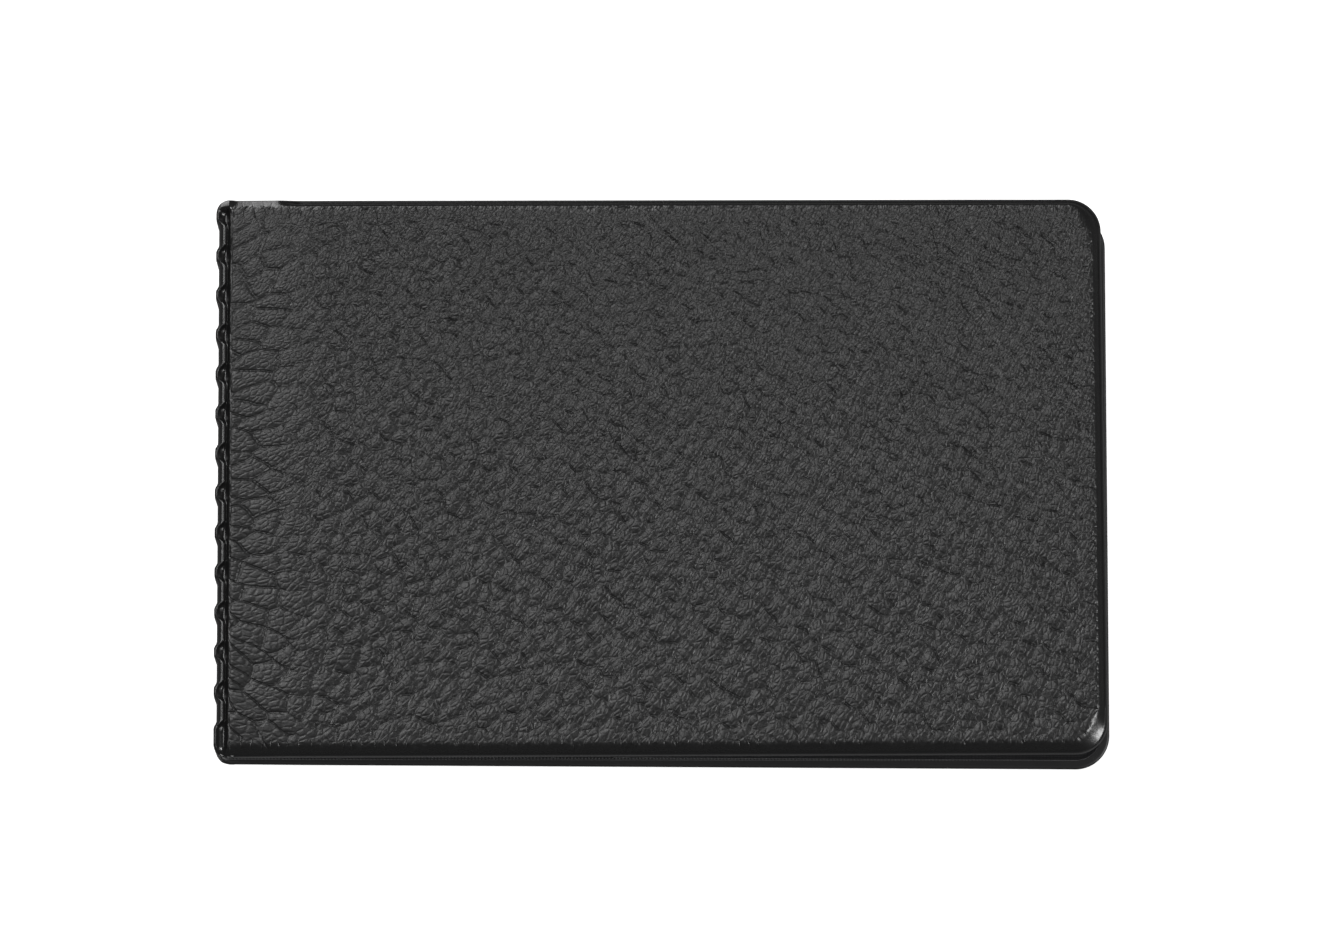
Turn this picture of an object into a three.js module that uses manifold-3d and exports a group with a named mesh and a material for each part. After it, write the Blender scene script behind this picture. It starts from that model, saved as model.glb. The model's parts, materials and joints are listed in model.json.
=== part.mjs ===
// Bifold card case in black leather, closed and lying on its back cover.
// Millimetres, +Z up. The spine is at -X, the long edges run along X, the fold lines along Y.
// Origin: centre of the underside of the bounding box.

import * as THREE from 'three';
import { mergeVertices } from 'three/addons/utils/BufferGeometryUtils.js';
import Module from 'manifold-3d';

const wasm = await Module();
wasm.setup();

// Outline of the closed case
const CASE_LENGTH = 110; // from the spine to the free edge
const COVER_WIDTH = 69; // along the spine
const FRONT_CORNER_RADIUS = 4;
const BACK_CORNER_RADIUS = 4.2;
const CORNER_STEPS = 8;

// The soft case lies a little off square: each free corner is moved up by so much,
// and stops so far short of the free end.
const FRONT_BOTTOM_CORNER = { up: 0.5, short: 0.35 };
const FRONT_TOP_CORNER = { up: 0.2, short: 1.1 };
const BACK_BOTTOM_CORNER = { up: -0.6, short: 0 };
const BACK_TOP_CORNER = { up: -0.6, short: 0.4 };

// Layers of one cover, from the outside in
const LEATHER = 0.9;
const FOAM = 0.6;
const BOARD = 0.5;
const LINING = 0.3;
const POCKET_GAP = 0.5;
const POCKET_SHEET = 0.3;
const FLAP = 0.35;

// Depths below a cover's outer face
const BOARD_DEPTH = LEATHER + FOAM;
const LINING_DEPTH = BOARD_DEPTH + BOARD;
const LINED_DEPTH = LINING_DEPTH + LINING;
const FLAP_DEPTH = LINED_DEPTH + FLAP;
const SHEET_DEPTH = LINED_DEPTH + POCKET_GAP;
const COVER_DEPTH = SHEET_DEPTH + POCKET_SHEET;

// Clear sleeves between the covers
const LEAF_COUNT = 10;
const LEAF_PITCH = 0.4;
const FILM = 0.12;
const FILM_GAP = 0.06; // between a sleeve's two films, as deep as the weld's bead
const LEAF_LENGTH = 98;
const LEAF_WIDTH = 62;
const LEAF_CORNER_RADIUS = 2.5;
const LEAF_START = 1; // from the binding to the sleeve's welded edge
const WELD_WIDTH = 1.5;
const NOTCH_RADIUS = 9;
const NOTCH_DEPTH = 5;

const CASE_THICKNESS = 2 * COVER_DEPTH + LEAF_COUNT * LEAF_PITCH;

// Fold lines: each lies this far inside both the cover's and the spine's outer face
const FOLD_INSET = 1.6;
const FOLD_GAP = 0.15; // from the fold line to each piece beside it
const SPINE_X = -CASE_LENGTH / 2;
const FOLD_X = SPINE_X + FOLD_INSET;
const COVER_X = FOLD_X + FOLD_GAP;
const FREE_X = CASE_LENGTH / 2;

// Pressed edge of a cover: the padded face rolls down to a thin lip
const LIP_DEPTH = 1.2;
const ROLL = [
  { inset: 1.3, depth: 0 },
  { inset: 0.75, depth: 0.2 },
  { inset: 0.3, depth: 0.6 },
  { inset: 0, depth: LIP_DEPTH },
];
const SEAM_WIDTH = 1.5; // flattened leather round the padding
const SEAM_AT_FOLD = 0.75;
const PADDING_PLAY = 0.1;
const LINING_INSET = 0.2;

// Side pocket inside each cover, open towards the spine, and the flap that slides into it
const POCKET_MOUTH_X = -6;
const POCKET_SEAM = 1.4;
const FLAP_START = 0.9; // from the fold line
const FLAP_LENGTH = 94;
const FLAP_WIDTH = 60;

// Fluted spine
const RIB_COUNT = 14;
const RIB_PITCH = 4.914;
const RIB_TOP_Y = 32.56; // centre of the rib nearest the top edge
const RIB_CREST = 1.7;
const RIB_SLOPE = 0.55;
const RIB_RELIEF = 0.33;
const STRIP = 0.35;
const STRIP_MARGIN = 0.3; // from the strip's ends to the spine's ends

const LEATHER_BLACK = new THREE.MeshStandardMaterial({ color: 0x1b1b1c, roughness: 0.55, metalness: 0 });
const FOAM_GREY = new THREE.MeshStandardMaterial({ color: 0x4a4a4c, roughness: 0.95, metalness: 0 });
const BOARD_BROWN = new THREE.MeshStandardMaterial({ color: 0x8a7a63, roughness: 0.9, metalness: 0 });
const LINING_BLACK = new THREE.MeshStandardMaterial({ color: 0x202024, roughness: 0.8, metalness: 0 });
const VINYL_BLACK = new THREE.MeshStandardMaterial({ color: 0x151517, roughness: 0.4, metalness: 0 });
const FILM_CLEAR = new THREE.MeshStandardMaterial({
  color: 0xdfe6e8,
  roughness: 0.15,
  metalness: 0,
  transparent: true,
  opacity: 0.35,
});

// A free corner of a cover, before rounding: side is -1 at the bottom edge and 1 at the top edge.
function freeCorner(side, { up, short }) {
  return new THREE.Vector2(FREE_X - short, (side * COVER_WIDTH) / 2 + up);
}

// The two covers differ in which way up they lie, their free corners and their corner radius.
const BACK = {
  name: 'back',
  height: (depth) => depth,
  bottomCorner: freeCorner(-1, BACK_BOTTOM_CORNER),
  topCorner: freeCorner(1, BACK_TOP_CORNER),
  radius: BACK_CORNER_RADIUS,
};
const FRONT = {
  name: 'front',
  height: (depth) => CASE_THICKNESS - depth,
  bottomCorner: freeCorner(-1, FRONT_BOTTOM_CORNER),
  topCorner: freeCorner(1, FRONT_TOP_CORNER),
  radius: FRONT_CORNER_RADIUS,
};

// A straight edge from a to b, moved left of its direction by the inset.
function edge(a, b, inset) {
  const direction = b.clone().sub(a).normalize();
  const normal = new THREE.Vector2(-direction.y, direction.x);
  return { point: a.clone().addScaledVector(normal, inset), direction };
}

function crossing(first, second) {
  const offset = second.point.clone().sub(first.point);
  const along = offset.cross(second.direction) / first.direction.cross(second.direction);
  return first.point.clone().addScaledVector(first.direction, along);
}

// Points of the arc that rounds the corner between two edges, anticlockwise.
function cornerArc(before, after, radius) {
  const inward = (line) => new THREE.Vector2(-line.direction.y, line.direction.x).multiplyScalar(radius);
  const shifted = (line) => ({ point: line.point.clone().add(inward(line)), direction: line.direction });
  const centre = crossing(shifted(before), shifted(after));
  const start = inward(before).negate().angle();
  const sweep = Math.acos(before.direction.dot(after.direction));
  const points = [];
  for (let step = 0; step <= CORNER_STEPS; step++) {
    const angle = start + (sweep * step) / CORNER_STEPS;
    points.push(new THREE.Vector2(Math.cos(angle), Math.sin(angle)).multiplyScalar(radius).add(centre));
  }
  return points;
}

// A cover's outline, inset from its three free edges and cut off square at startX.
// It runs from the bottom corner at the spine, round the free corners, to the top corner.
function coverOutline(cover, inset, startX) {
  const bottomAtSpine = new THREE.Vector2(SPINE_X, -COVER_WIDTH / 2);
  const topAtSpine = new THREE.Vector2(SPINE_X, COVER_WIDTH / 2);
  const bottom = edge(bottomAtSpine, cover.bottomCorner, inset);
  const free = edge(cover.bottomCorner, cover.topCorner, inset);
  const top = edge(cover.topCorner, topAtSpine, inset);
  const start = { point: new THREE.Vector2(startX, 0), direction: new THREE.Vector2(0, 1) };
  const radius = cover.radius - inset;
  return [
    crossing(bottom, start),
    ...cornerArc(bottom, free, radius),
    ...cornerArc(free, top, radius),
    crossing(top, start),
  ];
}

function signedVolume(positions, indices) {
  let volume = 0;
  const corner = (k) => new THREE.Vector3().fromArray(positions, 3 * indices[k]);
  for (let k = 0; k < indices.length; k += 3) {
    volume += corner(k).dot(corner(k + 1).cross(corner(k + 2))) / 6;
  }
  return volume;
}

// A closed skin through a series of rings, [{ outline, z }], with the same number of points in
// each. Every outline is convex, and the first and last rings are closed by flat caps.
function loft(rings) {
  const count = rings[0].outline.length;
  const positions = rings.flatMap(({ outline, z }) => outline.flatMap((p) => [p.x, p.y, z]));
  const indices = [];
  for (let ring = 0; ring + 1 < rings.length; ring++) {
    for (let k = 0; k < count; k++) {
      const a = ring * count + k;
      const b = ring * count + ((k + 1) % count);
      indices.push(a, b, b + count, a, b + count, a + count);
    }
  }
  for (const [ring, forward] of [[0, false], [rings.length - 1, true]]) {
    const first = ring * count;
    for (let k = 1; k + 1 < count; k++) {
      indices.push(first, first + (forward ? k : k + 1), first + (forward ? k + 1 : k));
    }
  }
  if (signedVolume(positions, indices) < 0) indices.reverse();
  const geometry = new THREE.BufferGeometry();
  geometry.setAttribute('position', new THREE.Float32BufferAttribute(positions, 3));
  geometry.setIndex(indices);
  return geometry;
}

// A flat layer of a cover between two depths below its outer face.
function coverLayer(cover, outline, depthFrom, depthTo) {
  return loft([
    { outline, z: cover.height(depthFrom) },
    { outline, z: cover.height(depthTo) },
  ]);
}

// A flat plate of any outline between two heights.
function plate(outline, zLow, zHigh) {
  const shape = outline instanceof THREE.Shape ? outline : new THREE.Shape(outline);
  const geometry = new THREE.ExtrudeGeometry(shape, {
    depth: zHigh - zLow,
    bevelEnabled: false,
    curveSegments: 12,
  });
  const position = geometry.getAttribute('position');
  for (let k = 0; k < position.count; k++) {
    position.setZ(k, position.getZ(k) > 0 ? zHigh : zLow);
  }
  return geometry;
}

function toSolid(geometry) {
  const bare = new THREE.BufferGeometry();
  bare.setAttribute('position', geometry.getAttribute('position'));
  if (geometry.index) bare.setIndex(geometry.index);
  const merged = mergeVertices(bare);
  return new wasm.Manifold(
    new wasm.Mesh({
      numProp: 3,
      vertProperties: new Float32Array(merged.getAttribute('position').array),
      triVerts: new Uint32Array(merged.index.array),
    }),
  );
}

function join(first, second) {
  const mesh = toSolid(first).add(toSolid(second)).getMesh();
  const geometry = new THREE.BufferGeometry();
  geometry.setAttribute('position', new THREE.BufferAttribute(mesh.vertProperties, 3));
  geometry.setIndex(new THREE.BufferAttribute(mesh.triVerts, 1));
  return geometry;
}

function addMesh(group, name, geometry, material) {
  geometry.computeVertexNormals();
  const mesh = new THREE.Mesh(geometry, material);
  mesh.name = name;
  group.add(mesh);
}

// Outer leather of a cover: a shallow tray whose edges roll down to a thin lip.
function coverLeather(cover) {
  const rolled = ROLL.map(({ inset, depth }) => ({
    outline: coverOutline(cover, inset, COVER_X),
    z: cover.height(depth),
  }));
  const lip = { outline: coverOutline(cover, 0, COVER_X), z: cover.height(LINING_DEPTH) };
  const hollow = coverOutline(cover, SEAM_WIDTH, COVER_X + SEAM_AT_FOLD);
  return loft([
    ...rolled,
    lip,
    { outline: hollow, z: cover.height(LINING_DEPTH) },
    { outline: hollow, z: cover.height(LEATHER) },
  ]);
}

// Foam or board inside the leather tray.
function coverFilling(cover, depthFrom, depthTo) {
  const outline = coverOutline(
    cover,
    SEAM_WIDTH + PADDING_PLAY,
    COVER_X + SEAM_AT_FOLD + PADDING_PLAY,
  );
  return coverLayer(cover, outline, depthFrom, depthTo);
}

// Side pocket: a sheet held off the lining by a seam round three of its edges.
function coverPocket(cover) {
  const outer = coverOutline(cover, LINING_INSET, POCKET_MOUTH_X);
  const inner = coverOutline(cover, LINING_INSET + POCKET_SEAM, POCKET_MOUTH_X);
  const span = (from, to) => [cover.height(from), cover.height(to)].sort((a, b) => a - b);
  const seam = plate([...outer, ...inner.reverse()], ...span(LINED_DEPTH, SHEET_DEPTH));
  const sheet = plate(outer, ...span(SHEET_DEPTH, COVER_DEPTH));
  return join(seam, sheet);
}

// Flap of the insert, lying on the lining and reaching into the side pocket.
function insertFlap(cover) {
  const startX = FOLD_X + FLAP_START;
  const outline = [
    new THREE.Vector2(startX, -FLAP_WIDTH / 2),
    new THREE.Vector2(startX + FLAP_LENGTH, -FLAP_WIDTH / 2),
    new THREE.Vector2(startX + FLAP_LENGTH, FLAP_WIDTH / 2),
    new THREE.Vector2(startX, FLAP_WIDTH / 2),
  ];
  return coverLayer(cover, outline, LINED_DEPTH, FLAP_DEPTH);
}

function addCover(group, cover) {
  addMesh(group, `${cover.name}_cover_leather`, coverLeather(cover), LEATHER_BLACK);
  addMesh(group, `${cover.name}_padding`, coverFilling(cover, LEATHER, BOARD_DEPTH), FOAM_GREY);
  addMesh(group, `${cover.name}_board`, coverFilling(cover, BOARD_DEPTH, LINING_DEPTH), BOARD_BROWN);
  const lining = coverLayer(cover, coverOutline(cover, LINING_INSET, COVER_X), LINING_DEPTH, LINED_DEPTH);
  addMesh(group, `${cover.name}_lining`, lining, LINING_BLACK);
  addMesh(group, `${cover.name}_pocket`, coverPocket(cover), LINING_BLACK);
  addMesh(group, `insert_${cover.name}_flap`, insertFlap(cover), VINYL_BLACK);
}

// Outline of the spine's leather from above: flat inside, with ribs across the outside.
function spineOutline() {
  const recessX = SPINE_X + RIB_RELIEF;
  const innerX = SPINE_X + LEATHER;
  const outline = [new THREE.Vector2(innerX, COVER_WIDTH / 2), new THREE.Vector2(recessX, COVER_WIDTH / 2)];
  for (let rib = 0; rib < RIB_COUNT; rib++) {
    const y = RIB_TOP_Y - rib * RIB_PITCH;
    outline.push(
      new THREE.Vector2(recessX, y + RIB_CREST / 2 + RIB_SLOPE),
      new THREE.Vector2(SPINE_X, y + RIB_CREST / 2),
      new THREE.Vector2(SPINE_X, y - RIB_CREST / 2),
      new THREE.Vector2(recessX, y - RIB_CREST / 2 - RIB_SLOPE),
    );
  }
  outline.push(new THREE.Vector2(recessX, -COVER_WIDTH / 2), new THREE.Vector2(innerX, -COVER_WIDTH / 2));
  return outline;
}

function spineLayer(xFrom, xTo, width, margin) {
  const outline = [
    new THREE.Vector2(xFrom, -width / 2),
    new THREE.Vector2(xTo, -width / 2),
    new THREE.Vector2(xTo, width / 2),
    new THREE.Vector2(xFrom, width / 2),
  ];
  const foldZ = FOLD_INSET + FOLD_GAP + margin;
  return plate(outline, foldZ, CASE_THICKNESS - foldZ);
}

function addSpine(group) {
  const foldZ = FOLD_INSET + FOLD_GAP;
  const liningX = SPINE_X + LEATHER;
  const stripX = liningX + LINING;
  const leather = plate(spineOutline(), foldZ, CASE_THICKNESS - foldZ);
  addMesh(group, 'spine_leather', leather, LEATHER_BLACK);
  addMesh(group, 'spine_lining', spineLayer(liningX, stripX, COVER_WIDTH - 2 * LINING_INSET, 0), LINING_BLACK);
  const strip = spineLayer(stripX, stripX + STRIP, LEAF_WIDTH, STRIP_MARGIN);
  addMesh(group, 'insert_binding_strip', strip, VINYL_BLACK);
}

// Corners of a sleeve between its welded edge and its free edge, inset from three sides.
// The top edge isn't inset, because the sleeve is open there.
function sleeveOutline(inset) {
  const startX = FOLD_X + LEAF_START + inset;
  const endX = FOLD_X + LEAF_START + LEAF_LENGTH - inset;
  const bottomY = -LEAF_WIDTH / 2 + inset;
  const outline = [new THREE.Vector2(startX, bottomY)];
  for (let step = 0; step <= CORNER_STEPS; step++) {
    const angle = -Math.PI / 2 + ((Math.PI / 2) * step) / CORNER_STEPS;
    const radius = LEAF_CORNER_RADIUS - inset;
    outline.push(new THREE.Vector2(
      endX - radius + radius * Math.cos(angle),
      bottomY + radius + radius * Math.sin(angle),
    ));
  }
  outline.push(new THREE.Vector2(endX, LEAF_WIDTH / 2), new THREE.Vector2(startX, LEAF_WIDTH / 2));
  return outline;
}

// Back film of a sleeve, with the bead of the weld along its three closed edges.
// From the open top edge the bead runs down the binding side, along the bottom and up the free side.
function backFilm(centreZ) {
  const outer = sleeveOutline(0);
  const inner = sleeveOutline(WELD_WIDTH);
  const beadEnd = outer.pop();
  const innerEnd = inner.pop();
  const bead = [beadEnd, ...outer, ...inner.reverse(), innerEnd];
  const film = plate(sleeveOutline(0), centreZ - FILM_GAP / 2 - FILM, centreZ - FILM_GAP / 2);
  return join(plate(bead, centreZ - FILM_GAP / 2, centreZ + FILM_GAP / 2), film);
}

// Front film of a sleeve, with a thumb notch in the middle of the open top edge.
function frontFilm(centreZ) {
  const shape = new THREE.Shape();
  const outline = sleeveOutline(0);
  const topLeft = outline.pop();
  const topRight = outline[outline.length - 1];
  const centreX = (topLeft.x + topRight.x) / 2;
  const centreY = topLeft.y + NOTCH_RADIUS - NOTCH_DEPTH;
  const halfAngle = Math.acos((NOTCH_RADIUS - NOTCH_DEPTH) / NOTCH_RADIUS);
  shape.moveTo(outline[0].x, outline[0].y);
  for (const point of outline.slice(1)) shape.lineTo(point.x, point.y);
  const downward = -Math.PI / 2;
  shape.absarc(centreX, centreY, NOTCH_RADIUS, downward + halfAngle, downward - halfAngle, true);
  shape.lineTo(topLeft.x, topLeft.y);
  return plate(shape, centreZ + FILM_GAP / 2, centreZ + FILM_GAP / 2 + FILM);
}

function addSleeves(group) {
  for (let leaf = 1; leaf <= LEAF_COUNT; leaf++) {
    const centreZ = COVER_DEPTH + (leaf - 0.5) * LEAF_PITCH;
    const number = String(leaf).padStart(2, '0');
    addMesh(group, `sleeve_${number}_back_film`, backFilm(centreZ), FILM_CLEAR);
    addMesh(group, `sleeve_${number}_front_film`, frontFilm(centreZ), FILM_CLEAR);
  }
}

const wallet = new THREE.Group();
addCover(wallet, BACK);
addSpine(wallet);
addCover(wallet, FRONT);
addSleeves(wallet);

export default wallet;
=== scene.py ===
"""Closed bifold card case in black pebble-grain leather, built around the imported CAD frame."""

import json
import math

import bmesh
import bpy
import numpy as np
from mathutils import Matrix, Vector


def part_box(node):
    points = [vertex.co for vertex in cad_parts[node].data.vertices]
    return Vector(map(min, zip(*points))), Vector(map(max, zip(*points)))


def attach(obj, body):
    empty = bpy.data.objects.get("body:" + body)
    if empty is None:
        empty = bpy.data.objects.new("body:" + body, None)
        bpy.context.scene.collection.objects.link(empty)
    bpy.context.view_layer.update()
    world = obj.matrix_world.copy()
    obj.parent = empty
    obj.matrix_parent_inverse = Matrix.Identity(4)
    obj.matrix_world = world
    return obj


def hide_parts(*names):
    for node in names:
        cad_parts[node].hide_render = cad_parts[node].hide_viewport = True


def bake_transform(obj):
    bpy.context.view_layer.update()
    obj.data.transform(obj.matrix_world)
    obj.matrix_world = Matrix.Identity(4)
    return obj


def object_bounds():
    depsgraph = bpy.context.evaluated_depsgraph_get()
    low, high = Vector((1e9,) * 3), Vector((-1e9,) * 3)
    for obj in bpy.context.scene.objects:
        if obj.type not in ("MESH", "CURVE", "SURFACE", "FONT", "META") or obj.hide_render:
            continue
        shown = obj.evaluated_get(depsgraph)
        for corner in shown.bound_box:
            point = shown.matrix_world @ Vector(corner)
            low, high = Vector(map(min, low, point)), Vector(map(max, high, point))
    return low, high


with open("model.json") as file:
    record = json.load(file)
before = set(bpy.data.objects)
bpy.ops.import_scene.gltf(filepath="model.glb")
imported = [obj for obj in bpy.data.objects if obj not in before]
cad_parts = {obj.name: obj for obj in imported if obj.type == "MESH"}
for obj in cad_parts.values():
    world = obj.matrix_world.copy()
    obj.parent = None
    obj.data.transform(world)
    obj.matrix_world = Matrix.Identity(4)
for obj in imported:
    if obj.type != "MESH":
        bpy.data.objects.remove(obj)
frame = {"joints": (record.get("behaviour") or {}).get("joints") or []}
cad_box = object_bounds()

MM = 0.001

# ---------------------------------------------------------------- sizes from the frame
SPINE_LOW, SPINE_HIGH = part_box("spine_leather")
JOINTS = {joint["name"]: joint for joint in frame["joints"]}
SPINE_X = cad_box[0].x
THICKNESS = cad_box[1].z
LENGTH = cad_box[1].x - cad_box[0].x
HALF_SPINE = (SPINE_HIGH.y - SPINE_LOW.y) / 2
COVER_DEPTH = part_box("back_pocket")[1].z
LINED_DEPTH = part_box("back_lining")[1].z
LIP_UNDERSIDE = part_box("back_cover_leather")[1].z

# ---------------------------------------------------------------- leather skin
GRID = 0.32 * MM
EDGE_GRID = 0.13 * MM
EDGE_BAND = 1.3 * MM  # the finer grid's width, inside the outline
RIB_COUNT = 14
RIB_PITCH = 4.914 * MM
RIB_TOP_Y = 32.56 * MM
RIB_HALF_CREST = 0.45 * MM
RIB_SLOPE = 0.95 * MM
SPINE_CORNER_RADIUS = 1.7 * MM
LIP_DEPTH = 1.2 * MM
LIP_WIDTH = 0.3 * MM
ROLL_WIDTHS = (1.35 * MM, 1.0 * MM, 0.55 * MM)  # along the bottom, the free edge and the top
SECTION_STEPS = 46
WRINKLE_ANGLES = (math.radians(26), math.radians(78))  # at the spine and at the free edge
# cells of the grain, in mm: pebbles, long cells beside the spine, and ticks along the pressed edge
PEBBLE_LENGTH, PEBBLE_WIDTH = 2.2, 1.75
LONG_CELL_LENGTH, LONG_CELL_WIDTH = 3.3, 1.9
TICK_WIDTH, TICK_LENGTH = 1.2, 4.5
STRETCH, STRETCH_REACH = 4.2, 9.0  # of the grain, away from the spine
SPREAD, SPREAD_REACH = 0.02, 16.0  # of the grain, towards the spine's ends
FAN_RADIUS = 60  # of the long cells' fan
LONG_CELLS_END, LONG_CELLS_FADE = 6, 9  # in mm from the spine
COARSE_WANDER, FINE_WANDER = 0.8, 0.2  # how far the grain strays from its lines, in mm
COARSE_SCALE, FINE_SCALE = 90, 450
FRONT_SEED, BACK_SEED = 0.0, 61.0
PEBBLE_GROOVE, LONG_CELL_GROOVE = 0.42, 0.2  # as shares of a cell's size
PEBBLE_RELIEF = 0.21 * MM
WRINKLE_RELIEF = 0.07 * MM
CREASE_RELIEF = 0.13 * MM
SWELL_RELIEF = 0.06 * MM
CORNER_REACH = 4.2 * MM  # of the smooth patch at each free corner
EDGE_FALL, EDGE_FALL_REACH = 0.12 * MM, 6 * MM
FOLD_FALL, FOLD_FALL_REACH = 0.36 * MM, 10 * MM
COVER_START = 1.6 * MM  # this and the bevel's end are distances from the spine's crest line
BEVEL_END = 10.4 * MM
BEVEL_FADE = 2.6 * MM
# Rings from the outline down to the lip's underside: (share of the way down, mm inwards).
SKIRT_RINGS = ((0.25, -0.03), (0.55, -0.03), (0.82, 0.02), (0.96, 0.12), (1.0, 0.3))
LIP_FACE_RING = 3  # the first ring whose leather shows its cut

# Sections of the fold and half the spine, as (distance from the spine's crest line, depth), in mm.
# The recess lies between two ribs. It and the rib dip into the fold's groove before they meet the
# cover, and the spine's upper end has no groove. The inner section is the skin's other face.
RECESS_SECTION = [
    (0.33, 5.1), (0.33, 4.2), (0.33, 3.3), (0.33, 2.6), (0.34, 2.0), (0.42, 1.4), (0.56, 0.9),
    (0.72, 0.6), (0.86, 0.4), (1.02, 0.32), (1.17, 0.26), (1.27, 0.4), (1.42, 0.78), (1.58, 0.74),
    (1.75, 0.5), (1.92, 0.26), (2.15, 0.0),
]
RIB_SECTION = [
    (0.0, 5.1), (0.0, 4.2), (0.0, 3.3), (0.0, 2.6), (0.0, 2.0), (0.0, 1.5), (0.02, 1.1),
    (0.05, 0.74), (0.14, 0.52), (0.34, 0.43), (0.46, 0.56), (0.68, 0.82), (0.92, 1.0), (1.2, 1.12),
    (1.55, 0.85), (1.9, 0.26), (2.15, 0.0),
]
END_SECTION = RIB_SECTION[:9] + [
    (0.34, 0.4), (0.56, 0.36), (0.8, 0.32), (1.04, 0.28), (1.3, 0.24), (1.58, 0.2), (1.86, 0.1), (2.15, 0.0),
]
INNER_SECTION = [
    (0.9, 5.1), (0.9, 4.4), (0.9, 3.8), (0.9, 3.4), (0.92, 3.0), (0.97, 2.7), (1.04, 2.5),
    (1.12, 2.35), (1.22, 2.22), (1.34, 2.13), (1.46, 2.07), (1.6, 2.03), (1.75, 2.01),
    (1.9, 2.0), (2.05, 2.0), (2.15, 2.0),
]


class Cover:
    """One cover's place. A free corner is (moved up, stopped short), at the bottom and at the top."""

    def __init__(self, name, is_front, corner_radius, bottom, top):
        self.name = name
        self.is_front = is_front
        self.corner_radius = corner_radius
        self.bottom = np.array(bottom) * MM
        self.top = np.array(top) * MM

    def place(self, u, t, depth):
        """Points from distance u beyond the spine's crest line, t along the spine, and depth."""
        u, t, depth = np.broadcast_arrays(u, t, depth)
        share = np.clip(u / LENGTH, 0, 1)
        side = t / (2 * HALF_SPINE) + 0.5
        up = self.bottom[0] + (self.top[0] - self.bottom[0]) * side
        short = self.bottom[1] + (self.top[1] - self.bottom[1]) * side
        z = THICKNESS - depth if self.is_front else depth
        return np.stack([SPINE_X + u - short * share, t + up * share, z], axis=-1)


BACK = Cover("back", False, 4.2 * MM, bottom=(-0.6, 0.0), top=(-0.6, 0.4))
FRONT = Cover("front", True, 4.0 * MM, bottom=(0.5, 0.35), top=(0.2, 1.1))


def smooth(value):
    value = np.clip(value, 0, 1)
    return value * value * (3 - 2 * value)


def steps(start, end, size):
    """Even steps of about the size, from start to end."""
    return np.linspace(start, end, max(int(round(abs(end - start) / size)), 1) + 1)


def spline(points, count):
    """A Catmull-Rom curve through the points, at even steps of its index."""
    points = np.array(points, float)
    padded = np.vstack([2 * points[0] - points[1], points, 2 * points[-1] - points[-2]])
    at = np.linspace(0, len(points) - 1, count)
    k = np.minimum(at.astype(int), len(points) - 2)
    f = (at - k)[:, None]
    a, b, c, d = (padded[k + n] for n in range(4))
    return 0.5 * (2 * b + (c - a) * f + (2 * a - 5 * b + 4 * c - d) * f**2 + (3 * b - a - 3 * c + d) * f**3)


def texture_values(points, kind, **settings):
    """Values of a Voronoi or noise texture at the points, from the same code that the shaders run."""
    mesh = bpy.data.meshes.new("sampler")
    mesh.vertices.add(len(points))
    mesh.vertices.foreach_set("co", np.asarray(points, np.float32).ravel())
    probe = bpy.data.objects.new("sampler", mesh)
    bpy.context.scene.collection.objects.link(probe)
    group = bpy.data.node_groups.new("sampler", "GeometryNodeTree")
    group.interface.new_socket("Geometry", in_out="INPUT", socket_type="NodeSocketGeometry")
    group.interface.new_socket("Geometry", in_out="OUTPUT", socket_type="NodeSocketGeometry")
    start = group.nodes.new("NodeGroupInput")
    end = group.nodes.new("NodeGroupOutput")
    store = group.nodes.new("GeometryNodeStoreNamedAttribute")
    store.data_type = "FLOAT"
    store.domain = "POINT"
    store.inputs["Name"].default_value = "value"
    position = group.nodes.new("GeometryNodeInputPosition")
    texture = group.nodes.new(kind)
    set_texture(texture, settings)
    group.links.new(start.outputs[0], store.inputs["Geometry"])
    group.links.new(position.outputs[0], texture.inputs["Vector"])
    group.links.new(texture.outputs[settings.get("output", 0)], store.inputs["Value"])
    group.links.new(store.outputs[0], end.inputs[0])
    probe.modifiers.new("sampler", "NODES").node_group = group
    evaluated = probe.evaluated_get(bpy.context.evaluated_depsgraph_get())
    values = np.zeros(len(points), np.float32)
    evaluated.data.attributes["value"].data.foreach_get("value", values)
    bpy.data.objects.remove(probe)
    bpy.data.node_groups.remove(group)
    bpy.data.meshes.remove(mesh)
    return values.astype(float)


def set_texture(texture, settings):
    """Sets a texture node's properties and input values by name."""
    for name, value in settings.items():
        if name == "output":
            continue
        if hasattr(texture, name):
            setattr(texture, name, value)
        else:
            texture.inputs[name].default_value = value


def noise(points, scale, seed, detail=2.0):
    """Smooth noise about zero, from -1 to 1."""
    shifted = np.array(points, float) + [seed * 17.3, seed * 5.1, seed * 9.7]
    return 2 * texture_values(shifted, "ShaderNodeTexNoise", Scale=scale, Detail=detail) - 1


CELLS = {"voronoi_dimensions": "2D", "feature": "DISTANCE_TO_EDGE", "Scale": 1.0, "Randomness": 0.9}


def cell_edges(points):
    return texture_values(points, "ShaderNodeTexVoronoi", **CELLS)


def flat(points):
    return np.asarray(points).reshape(-1, 3)


def round_corners(u, t, length, half, radius, spine_radius=0.0):
    """Rounds a grid's corners at the free end, and at the spine if that has a radius."""
    for at_spine, r in ((False, radius), (True, spine_radius)):
        if r == 0:
            continue
        a = (r - u) / r if at_spine else (u - (length - r)) / r
        b = (np.abs(t) - (half - r)) / r
        inside = (a > 0) & (b > 0)
        a2 = np.where(inside, a * np.sqrt(np.clip(1 - b * b / 2, 0, 1)), a)
        b2 = np.where(inside, b * np.sqrt(np.clip(1 - a * a / 2, 0, 1)), b)
        u = r - a2 * r if at_spine else length - r + a2 * r
        t = np.where(t < 0, -1, 1) * (half - r + b2 * r)
    return u, t


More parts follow.
